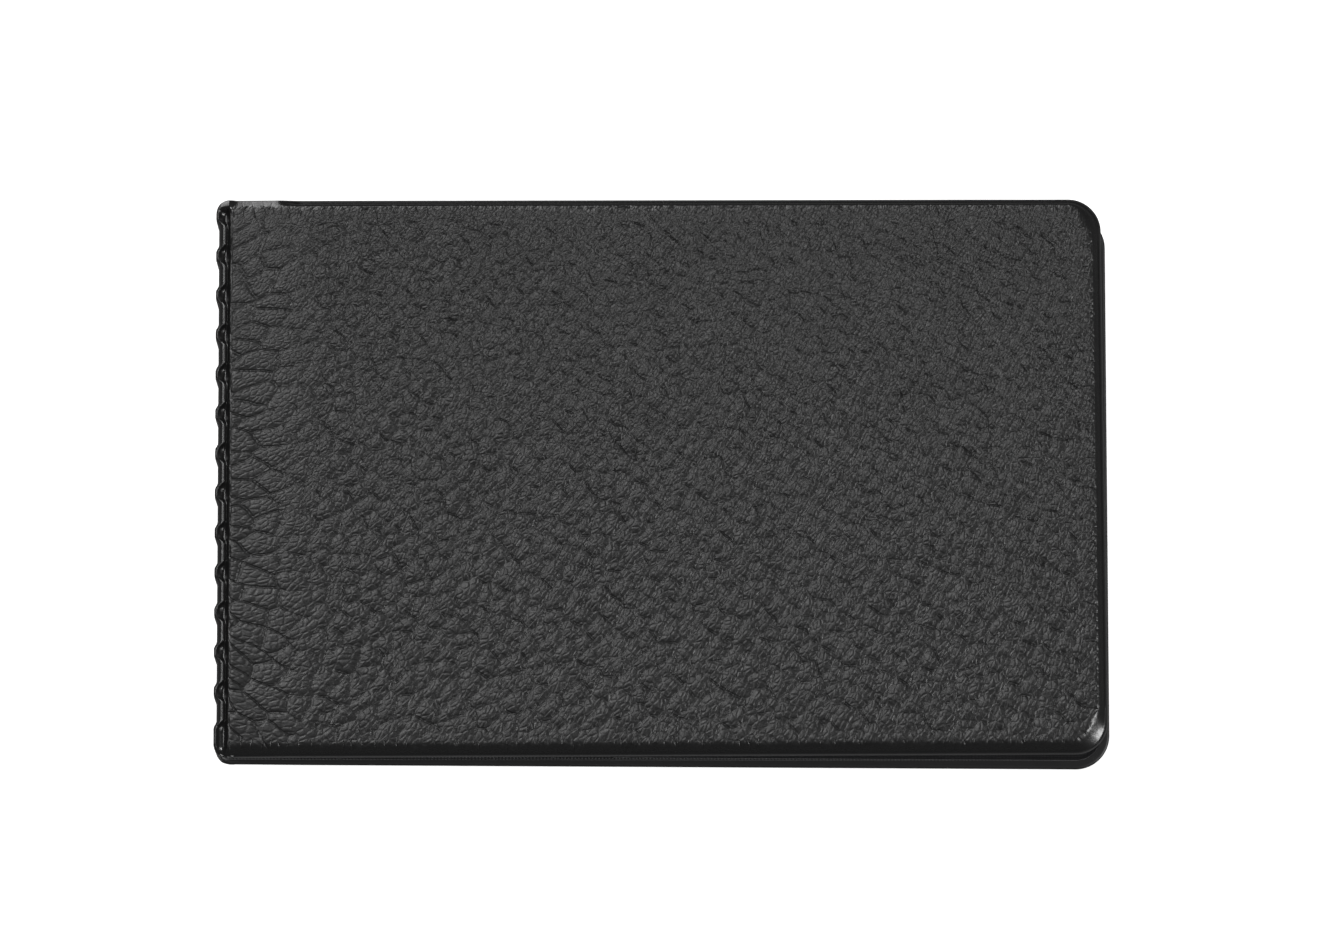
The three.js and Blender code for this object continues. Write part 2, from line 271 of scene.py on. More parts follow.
def inset_from_outline(u, t, length, half, radius):
    """Distance inwards from the three free edges of a cover with rounded corners."""
    a = u - (length - radius)
    b = np.abs(t) - (half - radius)
    in_corner = (a > 0) & (b > 0)
    straight = np.minimum(length - u, half - np.abs(t))
    return np.maximum(np.where(in_corner, radius - np.hypot(a, b), straight), 0)


class Skin:
    """Grid of a cover's outer leather, from the middle of the spine round the fold to the free edge."""

    def __init__(self, cover):
        self.cover = cover
        self.recess = spline(np.array(RECESS_SECTION) * MM, SECTION_STEPS)
        self.rib = spline(np.array(RIB_SECTION) * MM, SECTION_STEPS)
        self.end = spline(np.array(END_SECTION) * MM, SECTION_STEPS)
        self.inner = spline(np.array(INNER_SECTION) * MM, SECTION_STEPS)
        start = RECESS_SECTION[-1][0] * MM
        self.cover_u = np.concatenate([
            steps(start, LENGTH - EDGE_BAND, GRID)[1:],
            steps(LENGTH - EDGE_BAND, LENGTH, EDGE_GRID)[1:],
        ])
        edge = steps(HALF_SPINE, HALF_SPINE - EDGE_BAND, EDGE_GRID)
        middle = steps(EDGE_BAND - HALF_SPINE, HALF_SPINE - EDGE_BAND, GRID)
        self.t = np.concatenate([-edge, middle[1:-1], edge[::-1]])
        self.shape = (SECTION_STEPS + len(self.cover_u), len(self.t))

    def rib_share(self):
        """1 on the ribs and beyond the outer two, and 0 between them, for each place along the spine."""
        offset = np.abs((RIB_TOP_Y - self.t + RIB_PITCH / 2) % RIB_PITCH - RIB_PITCH / 2)
        share = 1 - smooth((offset - RIB_HALF_CREST) / RIB_SLOPE)
        last = RIB_TOP_Y - (RIB_COUNT - 1) * RIB_PITCH
        return np.where((self.t < last) | (self.t > RIB_TOP_Y), 1, share)

    def wander(self, points, scale, seed):
        return noise(flat(points), scale, seed).reshape(self.shape)

    def grain(self, u, t, inset):
        """Texture coordinates of the pebbles, long cells, wrinkles and ticks, and the spine's share."""
        here = np.stack([u, t, np.full_like(u, 0.05 if self.cover.is_front else 0.25)], axis=-1)
        # in millimetres, larger towards the spine and fanning out from it
        u_mm, t_mm = u / MM, t / MM
        inward = np.maximum(u_mm, 0)
        along = u_mm - STRETCH * (1 - np.exp(-inward / STRETCH_REACH))
        across = t_mm / (1 + SPREAD * u_mm * np.exp(-inward / SPREAD_REACH))
        along = along + COARSE_WANDER * self.wander(here, COARSE_SCALE, 1)
        along = along + FINE_WANDER * self.wander(here, FINE_SCALE, 2)
        across = across + COARSE_WANDER * self.wander(here, COARSE_SCALE, 3)
        across = across + FINE_WANDER * self.wander(here, FINE_SCALE, 4)
        low, high = WRINKLE_ANGLES
        rate = (high - low) / (LENGTH / MM)
        turned = np.exp(-1j * (low + rate * (along + 1j * across))) * 1j / rate
        zero = np.zeros(self.shape)
        seed = FRONT_SEED if self.cover.is_front else BACK_SEED
        wrinkles = np.stack([turned.real + seed, turned.imag, zero], axis=-1)
        pebbles = np.stack([turned.real / PEBBLE_LENGTH + seed, turned.imag / PEBBLE_WIDTH, zero], axis=-1)
        # close to the spine the pebbles lie across it instead
        radial = np.hypot(along + FAN_RADIUS, across) - FAN_RADIUS
        around = np.arctan2(across, along + FAN_RADIUS) * FAN_RADIUS
        straight = np.stack([radial / LONG_CELL_LENGTH + seed, around / LONG_CELL_WIDTH, zero], axis=-1)
        ragged_u = u_mm + 6 * self.wander(here, 130, 11)
        near_spine = 1 - smooth((ragged_u - LONG_CELLS_END) / LONG_CELLS_FADE)
        radius = self.cover.corner_radius
        corner_u = np.maximum(u - (LENGTH - radius), 0)
        corner_t = np.maximum(np.abs(t) - (HALF_SPINE - radius), 0)
        side = np.where(LENGTH - u < HALF_SPINE - np.abs(t), 1.0, 0.0)
        turn = np.arctan2(corner_u, corner_t + 1e-9) * radius
        tangent = np.where(side > 0, t + turn, u) + self.wander(here, 500, 5) * 0.3 * MM
        ticks = tangent / (TICK_WIDTH * MM) + seed + 90 * side
        edge = np.stack([ticks, inset / (TICK_LENGTH * MM), zero], axis=-1)
        return pebbles, straight, wrinkles, edge, near_spine

    def sections(self):
        """The plain skin: distance from the spine's crest line, place along the spine, and depth."""
        share = self.rib_share()[None, :, None]
        section = self.recess[:, None, :] * (1 - share) + self.rib[:, None, :] * share
        closed = smooth((self.t - RIB_TOP_Y - 0.3 * MM) / (0.8 * MM))[None, :, None]
        section = section * (1 - closed) + self.end[:, None, :] * closed
        rows = self.shape[1]
        u = np.concatenate([section[..., 0], np.repeat(self.cover_u[:, None], rows, 1)])
        depth = np.concatenate([section[..., 1], np.zeros((len(self.cover_u), rows))])
        return u, np.repeat(self.t[None, :], self.shape[0], 0), depth

    def build(self):
        """The outer points, and the attributes that the leather's shader reads."""
        u, t, section_depth = self.sections()
        end_inset = HALF_SPINE - np.abs(t)
        radius = self.cover.corner_radius
        u, t = round_corners(u, t, LENGTH, HALF_SPINE, radius, SPINE_CORNER_RADIUS)
        inset = inset_from_outline(u, t, LENGTH, HALF_SPINE, radius)
        on_cover = smooth((u - COVER_START) / (0.6 * MM))
        corner = np.hypot(LENGTH - 0.6 * MM - u, HALF_SPINE - 1.9 * MM - np.abs(t))
        corner = smooth(1 - corner / CORNER_REACH)
        # a plain bevel instead of the pressed seam, beside the spine's upper end
        bevel = smooth((BEVEL_END - u) / BEVEL_FADE) * (t > 0)
        pebbles, straight, wrinkles, edge, near_spine = self.grain(u - section_depth, t, inset)
        ragged = noise(flat(wrinkles), 0.45, 6).reshape(self.shape)
        at_edge = 1 - smooth((inset - (1.6 + 0.8 * ragged) * MM) / (1.6 * MM))
        grained = self.grained(u, inset, corner, bevel, ragged, edge)
        height, crease = self.relief(pebbles, straight, wrinkles, edge, near_spine, at_edge)
        height *= grained
        depth = section_depth + self.padding(u, inset, on_cover) - height * on_cover
        # the spine's ends and the cover's edge sink to the lip
        sink = self.sink(u, t, inset, end_inset, corner, bevel)
        sunk = np.hypot(np.maximum(depth, 0), sink)
        reach = 1 - smooth((depth - 1 * MM) / (2.5 * MM))
        depth = depth + np.where(on_cover > 0.999, sink, (sunk - np.maximum(depth, 0)) * reach)
        # bare leather again on the spine's back, between the pressed folds
        on_back = smooth((section_depth - 1.7 * MM) / MM) * smooth((end_inset - MM) / MM)
        attributes = {
            "pebbles": pebbles, "straight": straight, "wrinkles": wrinkles, "edge": edge,
            "at_edge": at_edge, "grained": grained + 0.7 * on_back, "crease": crease,
            "near_spine": near_spine,
            "cut": (1 - smooth((inset - 0.04 * MM) / (0.12 * MM))) * on_cover,
        }
        return u, t, depth, attributes

    def grained(self, u, inset, corner, bevel, ragged, edge):
        """1 where the leather keeps its grain and 0 where it is pressed smooth."""
        ends = (np.abs(edge[..., 0] * 0.31 % 1 - 0.5) - 0.25) * 1.2
        start = (0.55 + 0.5 * ragged + 0.5 * ends + 1.1 * corner) * MM
        share = smooth((inset - start) / ((1.1 + 2 * corner) * MM))
        share = share * smooth((u - (1.8 + 0.12 * ragged) * MM) / (0.4 * MM))
        return share * (1 - bevel * (1 - smooth((inset - 0.6 * MM) / (0.4 * MM))))

    def relief(self, pebbles, straight, wrinkles, edge, near_spine, at_edge):
        """Height of the grain, and where its long creases run, which the leather's shader also darkens as
        painted shade.
        """
        cells = self.cells(pebbles) / PEBBLE_GROOVE * (1 - near_spine)
        cells = cells + self.cells(straight) / LONG_CELL_GROOVE * near_spine
        cells = cells * (1 - at_edge) + self.cells(edge) / PEBBLE_GROOVE * at_edge
        dome = 1 - (1 - np.clip(cells, 0, 1)) ** 2
        fold = noise(flat(wrinkles) * [0.7, 1.2, 1.0], 1.0, 8).reshape(self.shape)
        line = flat(wrinkles) * [1.0, 0.33, 1.0]
        crease = np.abs(noise(line, 0.45, 9, detail=1.0).reshape(self.shape))
        present = smooth((noise(line, 0.3, 10).reshape(self.shape) + 0.05) / 0.4)
        crease = (1 - smooth(crease / 0.12)) * present * (1 - 0.8 * near_spine)
        large = noise(flat(wrinkles), 0.16, 7).reshape(self.shape)
        relief = PEBBLE_RELIEF * (1 - 0.4 * near_spine + 0.4 * large)
        height = relief * (dome - 1) * (1 - 0.3 * at_edge)
        height += WRINKLE_RELIEF * fold * (1 - at_edge) * (1 - 0.3 * near_spine)
        height -= CREASE_RELIEF * crease * (1 - at_edge)
        height += SWELL_RELIEF * large
        return height, crease

    def sink(self, u, t, inset, end_inset, corner, bevel):
        """How far the rolled or bevelled edge lies below the face."""
        bottom, free, top = ROLL_WIDTHS
        along_side = smooth((np.abs(t) - HALF_SPINE + 4 * MM) / (3 * MM))
        roll_width = free + (np.where(t < 0, bottom, top) - free) * along_side
        roll_width = roll_width + np.where(t < 0, 2.4, 0.4) * MM * corner
        edge_inset = np.where(u > 4 * MM, inset, np.minimum(end_inset, inset))
        rolled = np.clip((roll_width + LIP_WIDTH - edge_inset) / roll_width, 0, 1)
        rolled = (0.75 * rolled**2 + 0.25 * smooth(rolled)) * LIP_DEPTH
        bevelled = 0.2 * np.maximum(0.85 * MM - edge_inset, 0) + 5 * np.maximum(0.1 * MM - edge_inset, 0)
        return rolled + (bevelled - rolled) * bevel

    def cells(self, coordinates):
        return cell_edges(flat(coordinates)).reshape(self.shape)

    def padding(self, u, inset, on_cover):
        """How far the padded face falls away towards the free edges and the fold."""
        edge_fall = EDGE_FALL * (1 - smooth(inset / EDGE_FALL_REACH))
        fold_fall = FOLD_FALL * (1 - smooth((u - 2 * MM) / FOLD_FALL_REACH))
        return (edge_fall + fold_fall) * on_cover


def add_attribute(mesh, name, values):
    kind = "FLOAT_VECTOR" if values.ndim == 2 else "FLOAT"
    attribute = mesh.attributes.new(name, kind, "POINT")
    key = "vector" if kind == "FLOAT_VECTOR" else "value"
    attribute.data.foreach_set(key, np.ascontiguousarray(values, np.float32).ravel())


def make_mesh(name, vertices, faces, material, smooth_angle=math.radians(50)):
    mesh = bpy.data.meshes.new(name)
    mesh.from_pydata(np.asarray(vertices).tolist(), [], faces)
    mesh.update()
    mesh.shade_smooth()
    mesh.set_sharp_from_angle(angle=smooth_angle)
    mesh.materials.append(material)
    piece = bpy.data.objects.new(name, mesh)
    bpy.context.scene.collection.objects.link(piece)
    return piece


def quads(index):
    """Faces of a grid of vertex numbers."""
    grid = np.stack([index[:-1, :-1], index[1:, :-1], index[1:, 1:], index[:-1, 1:]], axis=-1)
    return grid.reshape(-1, 4).tolist()


def skirt(cover, inner, row, u, t, depth):
    """Rings of points from the outline down to the lip's underside, and to the spine's inner face."""
    on_spine = row < SECTION_STEPS
    inner = inner[np.minimum(row, SECTION_STEPS - 1)]
    inner_u = np.where(on_spine, inner[:, 0], u)
    inner_depth = np.where(on_spine, inner[:, 1], LIP_UNDERSIDE)
    # unit vectors from the outline inwards
    radius = cover.corner_radius
    centre_u = np.where(on_spine, u, np.minimum(u, LENGTH - radius))
    centre_t = np.clip(t, radius - HALF_SPINE, HALF_SPINE - radius)
    inward = np.stack([centre_u - u, centre_t - t], axis=-1)
    inward /= np.maximum(np.linalg.norm(inward, axis=-1, keepdims=True), 1e-9)
    rings = []
    for share, inset in SKIRT_RINGS:
        ring_u = u + (inner_u - u) * share * on_spine + inward[:, 0] * inset * MM
        ring_t = t + inward[:, 1] * inset * MM
        ring_depth = depth + (inner_depth - depth) * share
        rings.append(cover.place(ring_u, ring_t, ring_depth))
    return rings


def leather_faces(index, loop, starts):
    """Faces of the closed skin: outer grid, skirt, underside, and the cut along the spine."""
    faces = quads(index)
    rings = [loop] + [start + np.arange(len(loop)) for start in starts]
    for above, below in zip(rings, rings[1:]):
        faces += quads(np.stack([below, above]))
    # long strips behind the fold and spine, and one flat face under the cover
    last = rings[-1]
    low = last[-1] + 1 + np.arange(SECTION_STEPS)
    high = low + SECTION_STEPS
    faces += quads(np.stack([last[:SECTION_STEPS], low, high, last[::-1][:SECTION_STEPS]]))
    faces.append([*last[SECTION_STEPS - 1 : len(last) - SECTION_STEPS + 1], high[-1], low[-1]])
    # the cut in the middle of the spine, where the other half meets it
    ring_ends = [start + len(loop) - 1 for start in starts]
    faces.append([*index[0, :], *ring_ends, high[0], low[0], *starts[::-1]])
    return [[int(k) for k in face] for face in faces]


def add_skin_attributes(mesh, attributes, loop, starts):
    """Carries the skin's attributes on over its skirt, and marks the inner face of the lip as cut."""
    count = starts[0]
    skirt_loops = np.tile(loop, len(starts))
    for name, values in attributes.items():
        values = values.reshape(count, -1)
        filled = np.zeros((len(mesh.vertices), values.shape[1]))
        filled[:count] = values
        if name == "cut":
            filled[starts[LIP_FACE_RING] :] = 1
        elif name != "grained":
            filled[count : count + len(skirt_loops)] = values[skirt_loops]
        add_attribute(mesh, name, filled if filled.shape[1] > 1 else filled[:, 0])


def leather_half(cover, material):
    """The outer leather of one cover and half the spine, as one closed body."""
    skin = Skin(cover)
    u, t, depth, attributes = skin.build()
    ni, nj = skin.shape
    index = np.arange(ni * nj).reshape(ni, nj)
    # the outline, from one end of the spine round the free edge to the other end
    loop = np.concatenate([index[:, 0], index[-1, 1:-1], index[::-1, -1]])
    row = np.concatenate([np.arange(ni), np.full(nj - 2, ni - 1), np.arange(ni)[::-1]])
    vertices = [cover.place(u, t, depth)]
    vertices += skirt(cover, skin.inner, row, u.ravel()[loop], t.ravel()[loop], depth.ravel()[loop])
    starts = [ni * nj + k * len(loop) for k in range(len(SKIRT_RINGS))]
    for end in (2 * MM - HALF_SPINE, HALF_SPINE - 2 * MM):
        vertices.append(cover.place(skin.inner[:, 0], end, skin.inner[:, 1]))
    points = np.vstack([flat(part) for part in vertices])
    piece = make_mesh(f"{cover.name}_leather", points, leather_faces(index, loop, starts), material)
    add_skin_attributes(piece.data, attributes, loop, starts)
    consistent(piece)
    return piece


def consistent(piece):
    """Makes the faces of a closed mesh point outwards."""
    shape = bmesh.new()
    shape.from_mesh(piece.data)
    bmesh.ops.recalc_face_normals(shape, faces=shape.faces)
    if shape.calc_volume(signed=True) < 0:
        bmesh.ops.reverse_faces(shape, faces=shape.faces)
    shape.to_mesh(piece.data)
    shape.free()


# ---------------------------------------------------------------- linings, pockets and inserts
CLOTH_STEP = 1.5 * MM
SEAM_STEP = 0.25 * MM
SEAM_BAND = 4 * MM
LINING_INSET_AT_SPINE = 0.55 * MM
LINING_INSET = 1.0 * MM
LINING_THICKNESS = 0.28 * MM
POCKET_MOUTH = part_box("back_pocket")[0].x - SPINE_X
POCKET_SEAM = 1.4 * MM
POCKET_SHEET = 0.3 * MM
FLAP_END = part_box("insert_back_flap")[1].x - SPINE_X
FLAP_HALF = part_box("insert_back_flap")[1].y
FLAP_THICKNESS = 0.3 * MM
FLAP_RADIUS = 2 * MM
FLAP_SECTION = [
    (1.24, 5.1), (1.24, 4.6), (1.24, 4.1), (1.24, 3.6), (1.27, 3.2), (1.36, 2.9), (1.55, 2.65),
    (1.85, 2.47), (2.2, 2.38), (2.6, 2.35), (3.2, 2.35),
]
PLAY = 0.02 * MM  # between layers


def closed_sheet(name, top, bottom, material, attributes=None):
    """A thin closed body between two grids of points."""
    ni, nj = top.shape[:2]
    count = ni * nj
    index = np.arange(count).reshape(ni, nj)
    border = np.concatenate([index[:-1, 0], index[-1, :-1], index[:0:-1, -1], index[0, :0:-1]])
    loop = np.append(border, border[0])
    faces = quads(index) + quads(index + count) + quads(np.stack([loop, loop + count]))
    piece = make_mesh(name, np.vstack([flat(top), flat(bottom)]), faces, material, math.radians(35))
    for key, values in (attributes or {}).items():
        values = values.reshape(count, -1)
        both = np.vstack([values, values])
        add_attribute(piece.data, key, both if both.shape[1] > 1 else both[:, 0])
    consistent(piece)
    return piece


def offset(path, distance):
    """A path of (u, depth) moved towards the inside of the case."""
    tangent = np.gradient(path, axis=0)
    tangent /= np.linalg.norm(tangent, axis=1, keepdims=True)
    return path + np.stack([-tangent[:, 1], tangent[:, 0]], axis=1) * distance


def wrapped_path(section, end):
    """From the middle of the spine, round the fold, and flat to the end."""
    curve = spline(np.array(section) * MM, 30)
    flat_u = steps(curve[-1, 0], end, CLOTH_STEP)[1:]
    straight = np.stack([flat_u, np.full(len(flat_u), curve[-1, 1])], axis=1)
    return np.vstack([curve, straight])


def wrapped_sheet(name, cover, path, thickness, half, radius, material, taper=None):
    """A sheet along a path and across the spine's length, with rounded corners at its free end."""
    t = steps(-half, half, CLOTH_STEP)[None, :]
    faces = []
    length = path[-1, 0]
    for distance in (0.0, thickness):
        line = offset(path, distance)
        u = np.repeat(line[:, :1], t.shape[1], 1)
        depth = np.repeat(line[:, 1:], t.shape[1], 1)
        u2, t2 = round_corners(u, np.repeat(t, len(line), 0), length, half, radius)
        if taper is not None:
            t2 = t2 * (1 - taper * np.clip(u / length, 0, 1) / half)
        faces.append(cover.place(u2, t2, depth))
    rest = np.stack([u2 / MM, t2 / MM, depth / MM], axis=-1)
    return closed_sheet(name, *faces, material, {"rest": rest})


def lining(cover, material):
    """Cloth lining of one cover and half the spine."""
    path = offset(wrapped_path(INNER_SECTION, LENGTH - LINING_INSET), PLAY)
    half = HALF_SPINE - LINING_INSET_AT_SPINE
    taper = LINING_INSET - LINING_INSET_AT_SPINE
    radius = cover.corner_radius - LINING_INSET
    name = f"{cover.name}_lining_cloth"
    return wrapped_sheet(name, cover, path, LINING_THICKNESS, half, radius, material, taper)


def flap(cover, material):
    """Half of the insert's binding strip, and the flap that slides into the side pocket."""
    path = wrapped_path(FLAP_SECTION, FLAP_END)
    name = f"insert_{cover.name}_half"
    return wrapped_sheet(name, cover, path, FLAP_THICKNESS, FLAP_HALF, FLAP_RADIUS, material)


def seamed_steps(start, end):
    """Steps across a welded sheet, fine along the two seams and coarse between them."""
    return np.unique(np.concatenate([
        steps(start, start + SEAM_BAND, SEAM_STEP),
        steps(start + SEAM_BAND, end - SEAM_BAND, CLOTH_STEP),
        steps(end - SEAM_BAND, end, SEAM_STEP),
    ]))


def pocket(cover, material):
    """Side pocket: a sheet welded down along three edges, with a hemmed mouth."""
    inset = LINING_INSET
    length, half = LENGTH - inset, HALF_SPINE - inset
    radius = cover.corner_radius - inset
    u, t = np.meshgrid(seamed_steps(POCKET_MOUTH, length), seamed_steps(-half, half), indexing="ij")
    u, t = round_corners(u, t, length, half, radius)
    seam = inset_from_outline(u, t, length, half, radius)
    from_mouth = u - POCKET_MOUTH
    loose = smooth((seam - POCKET_SEAM) / (1.6 * MM))
    weld = np.exp(-((seam - 0.45 * MM) / (0.16 * MM)) ** 2) + np.exp(-((seam - 1.1 * MM) / (0.16 * MM)) ** 2)
    hem = np.exp(-((from_mouth - 2.2 * MM) / (0.25 * MM)) ** 2)
    under = LINED_DEPTH + PLAY
    outer = under + loose * (COVER_DEPTH - POCKET_SHEET - under)
    inner = outer + POCKET_SHEET - PLAY - 0.08 * MM * weld - 0.08 * MM * hem
    rest = np.stack([u / MM, t / MM, inner / MM], axis=-1)
    attributes = {"rest": rest, "weld": 1 - loose}
    faces = [cover.place(u, t, depth) for depth in (outer, inner)]
    return closed_sheet(f"{cover.name}_pocket_cloth", *faces, material, attributes)


# ---------------------------------------------------------------- card sleeves
FILM_LOW, FILM_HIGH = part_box("sleeve_01_back_film")
LEAF_COUNT = sum(name.startswith("leaf_") for name in JOINTS)
LEAF_PITCH = 0.4 * MM
FILM = 0.12 * MM
FILM_GAP = 0.03 * MM  # from the middle of a sleeve to each of its films
WELD_WIDTH = 1.5 * MM
LEAF_RADIUS = 2.5 * MM
BINDING_INSET = 1.64 * MM
NOTCH_HALF = 8 * MM
NOTCH_DEPTH = 5 * MM


def sleeve_film(leaf, is_front, material):
    """One film of a sleeve, welded to the other along three edges, and open along its top edge."""
    start_x = SPINE_X + BINDING_INSET
    end_x = FILM_HIGH.x
    half = FILM_HIGH.y
    middle = (FILM_LOW.x + end_x) / 2
    x_line = np.unique(np.concatenate([
        steps(start_x, start_x + 5 * MM, 0.25 * MM),
        steps(start_x + 5 * MM, middle - NOTCH_HALF, 3 * MM),
        middle + NOTCH_HALF * np.sin(np.linspace(-np.pi / 2, np.pi / 2, 25)),
        steps(middle + NOTCH_HALF, end_x - 3 * MM, 3 * MM),
        steps(end_x - 3 * MM, end_x, 0.3 * MM),
    ]))
    share = np.unique(np.concatenate([np.linspace(0, 0.05, 9), np.linspace(0.05, 0.97, 24), [0.985, 1.0]]))
    x, row = np.meshgrid(x_line, share, indexing="ij")
    across = np.clip((x - middle) / NOTCH_HALF, -1, 1)
    notch = NOTCH_DEPTH * np.sqrt(1 - across**2) ** 1.2 if is_front else 0.0
    y = -half + row * (2 * half - notch)
    a = (x - (end_x - LEAF_RADIUS)) / LEAF_RADIUS
    b = (-half + LEAF_RADIUS - y) / LEAF_RADIUS
    inside = (a > 0) & (b > 0)
    x = np.where(inside, end_x - LEAF_RADIUS + a * np.sqrt(np.clip(1 - b * b / 2, 0, 1)) * LEAF_RADIUS, x)
    y = np.where(inside, -half + LEAF_RADIUS - b * np.sqrt(np.clip(1 - a * a / 2, 0, 1)) * LEAF_RADIUS, y)
    from_edge = np.minimum(np.minimum(end_x - x, x - FILM_LOW.x), y + half)
    welded = 1 - smooth((from_edge - 0.7 * WELD_WIDTH) / (0.4 * WELD_WIDTH))
    centre_z = COVER_DEPTH + (leaf - 0.5) * LEAF_PITCH
    side = 1 if is_front else -1
    near = centre_z + side * FILM_GAP * (1 - 0.9 * welded)
    far = centre_z + side * (FILM_GAP + FILM - 0.04 * MM * welded)
    faces = [np.stack([x, y, level], axis=-1) for level in (near, far)]
    rest = np.stack([x / MM, y / MM, np.full_like(x, leaf)], axis=-1)
    name = f"sleeve_{leaf:02d}_{'front' if is_front else 'back'}_sheet"
    return closed_sheet(name, *faces, material, {"rest": rest, "weld": welded})


# ---------------------------------------------------------------- materials
def new_material(name):
    material = bpy.data.materials.new(name)
    material.use_nodes = True
    return material, material.node_tree.nodes, material.node_tree.links


def attribute_node(nodes, name, output):
    node = nodes.new("ShaderNodeAttribute")
    node.attribute_name = name
    return node.outputs[output]


def texture_node(nodes, links, kind, vector, **settings):
    node = nodes.new(kind)
    set_texture(node, settings)
    links.new(vector, node.inputs["Vector"])
    return node.outputs[0]


def map_range(nodes, links, value, from_min, from_max, to_min, to_max, kind="SMOOTHSTEP"):
    node = nodes.new("ShaderNodeMapRange")
    node.interpolation_type = kind
    links.new(value, node.inputs["Value"])
    for name, number in (
        ("From Min", from_min), ("From Max", from_max), ("To Min", to_min), ("To Max", to_max),
    ):
        node.inputs[name].default_value = number
    return node.outputs["Result"]


def maths(nodes, links, operation, first, second):
    node = nodes.new("ShaderNodeMath")
    node.operation = operation
    for socket, value in zip(node.inputs, (first, second)):
        if isinstance(value, (int, float)):
            socket.default_value = value
        else:
            links.new(value, socket)
    return node.outputs[0]


def mix(nodes, links, share, first, second, kind="FLOAT"):
    node = nodes.new("ShaderNodeMix")
    node.data_type = kind
    sockets = {"FLOAT": (2, 3, 0), "RGBA": (6, 7, 2)}[kind]
    links.new(share, node.inputs[0])
    for place, value in zip(sockets, (first, second)):
        if isinstance(value, (int, float, tuple)):
            node.inputs[place].default_value = value
        else:
            links.new(value, node.inputs[place])
    return node.outputs[sockets[2]]


def scaled(nodes, links, vector, scale):
    node = nodes.new("ShaderNodeVectorMath")
    node.operation = "MULTIPLY"
    links.new(vector, node.inputs[0])
    node.inputs[1].default_value = scale
    return node.outputs[0]


def leather_material():
    """Black pebble-grain leather, glossier and smoother where it is heat-pressed, with painted shade
    darkening its colour in the grain's creases.
    """
    material, nodes, links = new_material("black_leather")
    shader = nodes["Principled BSDF"]
    wrinkles = attribute_node(nodes, "wrinkles", "Vector")
    at_edge = attribute_node(nodes, "at_edge", "Fac")
    grained = attribute_node(nodes, "grained", "Fac")
    long_crease_shade = attribute_node(nodes, "crease", "Fac")
    near_spine = attribute_node(nodes, "near_spine", "Fac")
    cut = attribute_node(nodes, "cut", "Fac")
    pebble, straight, tick = (
        texture_node(nodes, links, "ShaderNodeTexVoronoi", attribute_node(nodes, name, "Vector"), **CELLS)
        for name in ("pebbles", "straight", "edge")
    )
    cells = mix(nodes, links, near_spine, pebble, straight)
    cells = mix(nodes, links, at_edge, cells, tick)
    broken = texture_node(nodes, links, "ShaderNodeTexNoise", wrinkles, Scale=0.6, Detail=1.0)
    broken = map_range(nodes, links, broken, 0.44, 0.62, 0.08, 0.9)
    broken = mix(nodes, links, near_spine, broken, 0.9)
    crease = map_range(nodes, links, cells, 0.0, 0.08, 1.0, 0.0)
    crease = maths(nodes, links, "MULTIPLY", crease, broken)
    facets = scaled(nodes, links, wrinkles, (1.3, 1.9, 1))
    facet = texture_node(nodes, links, "ShaderNodeTexVoronoi", facets, **CELLS)
    facet = map_range(nodes, links, facet, 0.0, 0.3, 0.0, 1.0)
    streaks = scaled(nodes, links, wrinkles, (1.25, 2.4, 1))
    streak = texture_node(nodes, links, "ShaderNodeTexNoise", streaks, Scale=1.0, Detail=4.0, Roughness=0.65)
    pores = texture_node(nodes, links, "ShaderNodeTexNoise", wrinkles, Scale=3.6, Detail=3.0, Roughness=0.65)
    calm = map_range(nodes, links, near_spine, 0.0, 1.0, 1.0, 0.8, "LINEAR")
    fine = maths(nodes, links, "MULTIPLY", facet, 0.8)
    for layer, weight in ((streak, 1.1), (pores, 0.8)):
        fine = maths(nodes, links, "ADD", fine, maths(nodes, links, "MULTIPLY", layer, weight))
    fine = maths(nodes, links, "MULTIPLY", fine, calm)
    height = maths(nodes, links, "ADD", fine, maths(nodes, links, "MULTIPLY", crease, -1.7))
    strength = map_range(nodes, links, grained, 0.0, 1.0, 0.06, 1.0, "LINEAR")
    height = maths(nodes, links, "MULTIPLY", height, strength)
    bump = nodes.new("ShaderNodeBump")
    bump.inputs["Distance"].default_value = 0.05 * MM
    links.new(height, bump.inputs["Height"])
    links.new(bump.outputs[0], shader.inputs["Normal"])
    # painted shade: the colour darkens to near black in the grooves between pebbles and along the long
    # creases
    painted_crease_shade = maths(nodes, links, "MAXIMUM", crease, long_crease_shade)
    tint = map_range(nodes, links, streak, 0.3, 0.7, 0.0, 1.0)
    shade = mix(nodes, links, tint, (0.005, 0.005, 0.0051, 1), (0.009, 0.009, 0.0092, 1), "RGBA")
    shade = mix(nodes, links, painted_crease_shade, shade, (0.002, 0.002, 0.002, 1), "RGBA")
    colour = mix(nodes, links, grained, (0.007, 0.007, 0.0071, 1), shade, "RGBA")
    colour = mix(nodes, links, cut, colour, (0.018, 0.018, 0.0185, 1), "RGBA")
    links.new(colour, shader.inputs["Base Color"])
    rough = map_range(nodes, links, pores, 0.3, 0.7, 0.38, 0.48)
    rough = mix(nodes, links, grained, 0.26, rough)
    rough = mix(nodes, links, cut, rough, 0.5)
    links.new(rough, shader.inputs["Roughness"])
    return material


def bumped(nodes, links, shader, height, distance):
    bump = nodes.new("ShaderNodeBump")
    bump.inputs["Distance"].default_value = distance
    links.new(height, bump.inputs["Height"])
    links.new(bump.outputs[0], shader.inputs["Normal"])


